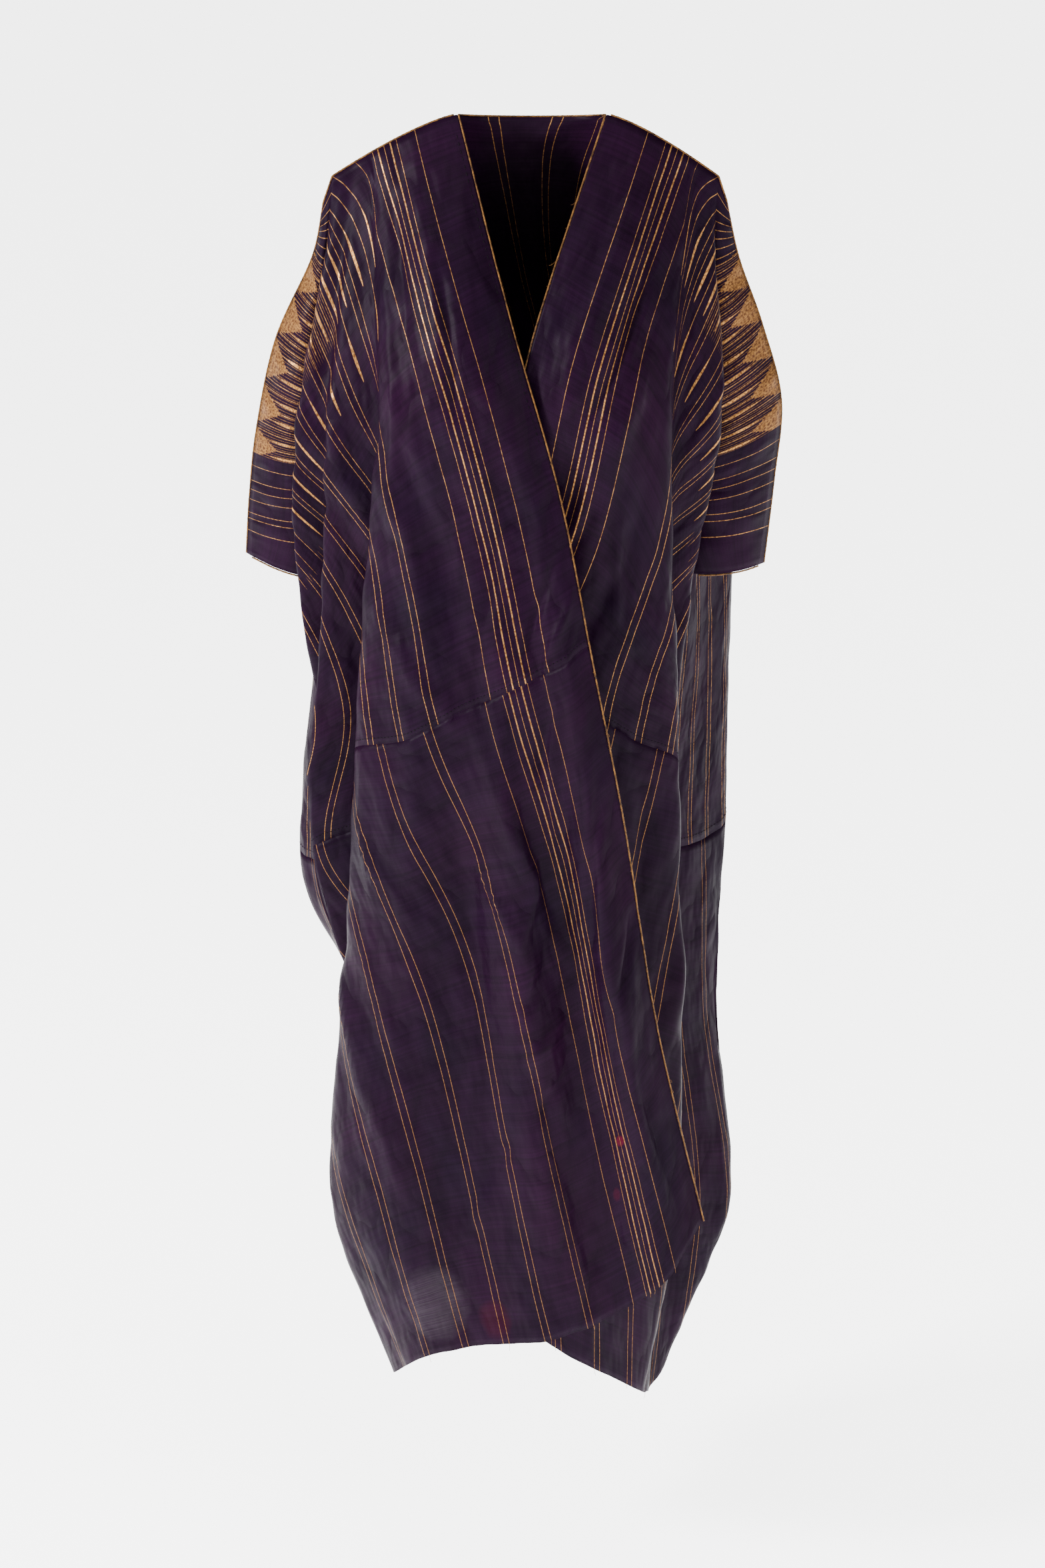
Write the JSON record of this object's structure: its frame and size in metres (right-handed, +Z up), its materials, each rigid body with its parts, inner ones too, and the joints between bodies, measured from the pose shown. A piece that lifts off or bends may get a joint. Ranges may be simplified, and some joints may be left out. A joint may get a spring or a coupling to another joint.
{
  "type": "aba robe",
  "caption": "Wide silk aba robe of two cloth widths joined at the hips, with gilt stripes, wing sleeves and one front lapped over the other, held hollow as it is worn",
  "frame": {"origin": "midway between the two neck points, at the top of the shoulder seams, where the wearer's shoulders carry the robe", "axes": "+Z up, the wearer faces -Y, the wearer's left is +X"},
  "size_m": [0.5629, 0.3458, 1.4392],
  "materials": {
    "silk": "satin",
    "gilt_cord": "metallic thread"
  },
  "bodies": {
    "root": {"right_front_upper": "silk", "right_front_lower": "silk", "left_front_upper": "silk", "left_front_lower": "silk", "back_upper": "silk", "back_lower": "silk", "edge_cord": "gilt_cord", "right_shoulder_cord": "gilt_cord", "left_shoulder_cord": "gilt_cord", "right_front_cuff_cord": "gilt_cord", "right_back_cuff_cord": "gilt_cord", "left_front_cuff_cord": "gilt_cord", "left_back_cuff_cord": "gilt_cord"}
  },
  "joints": []
}
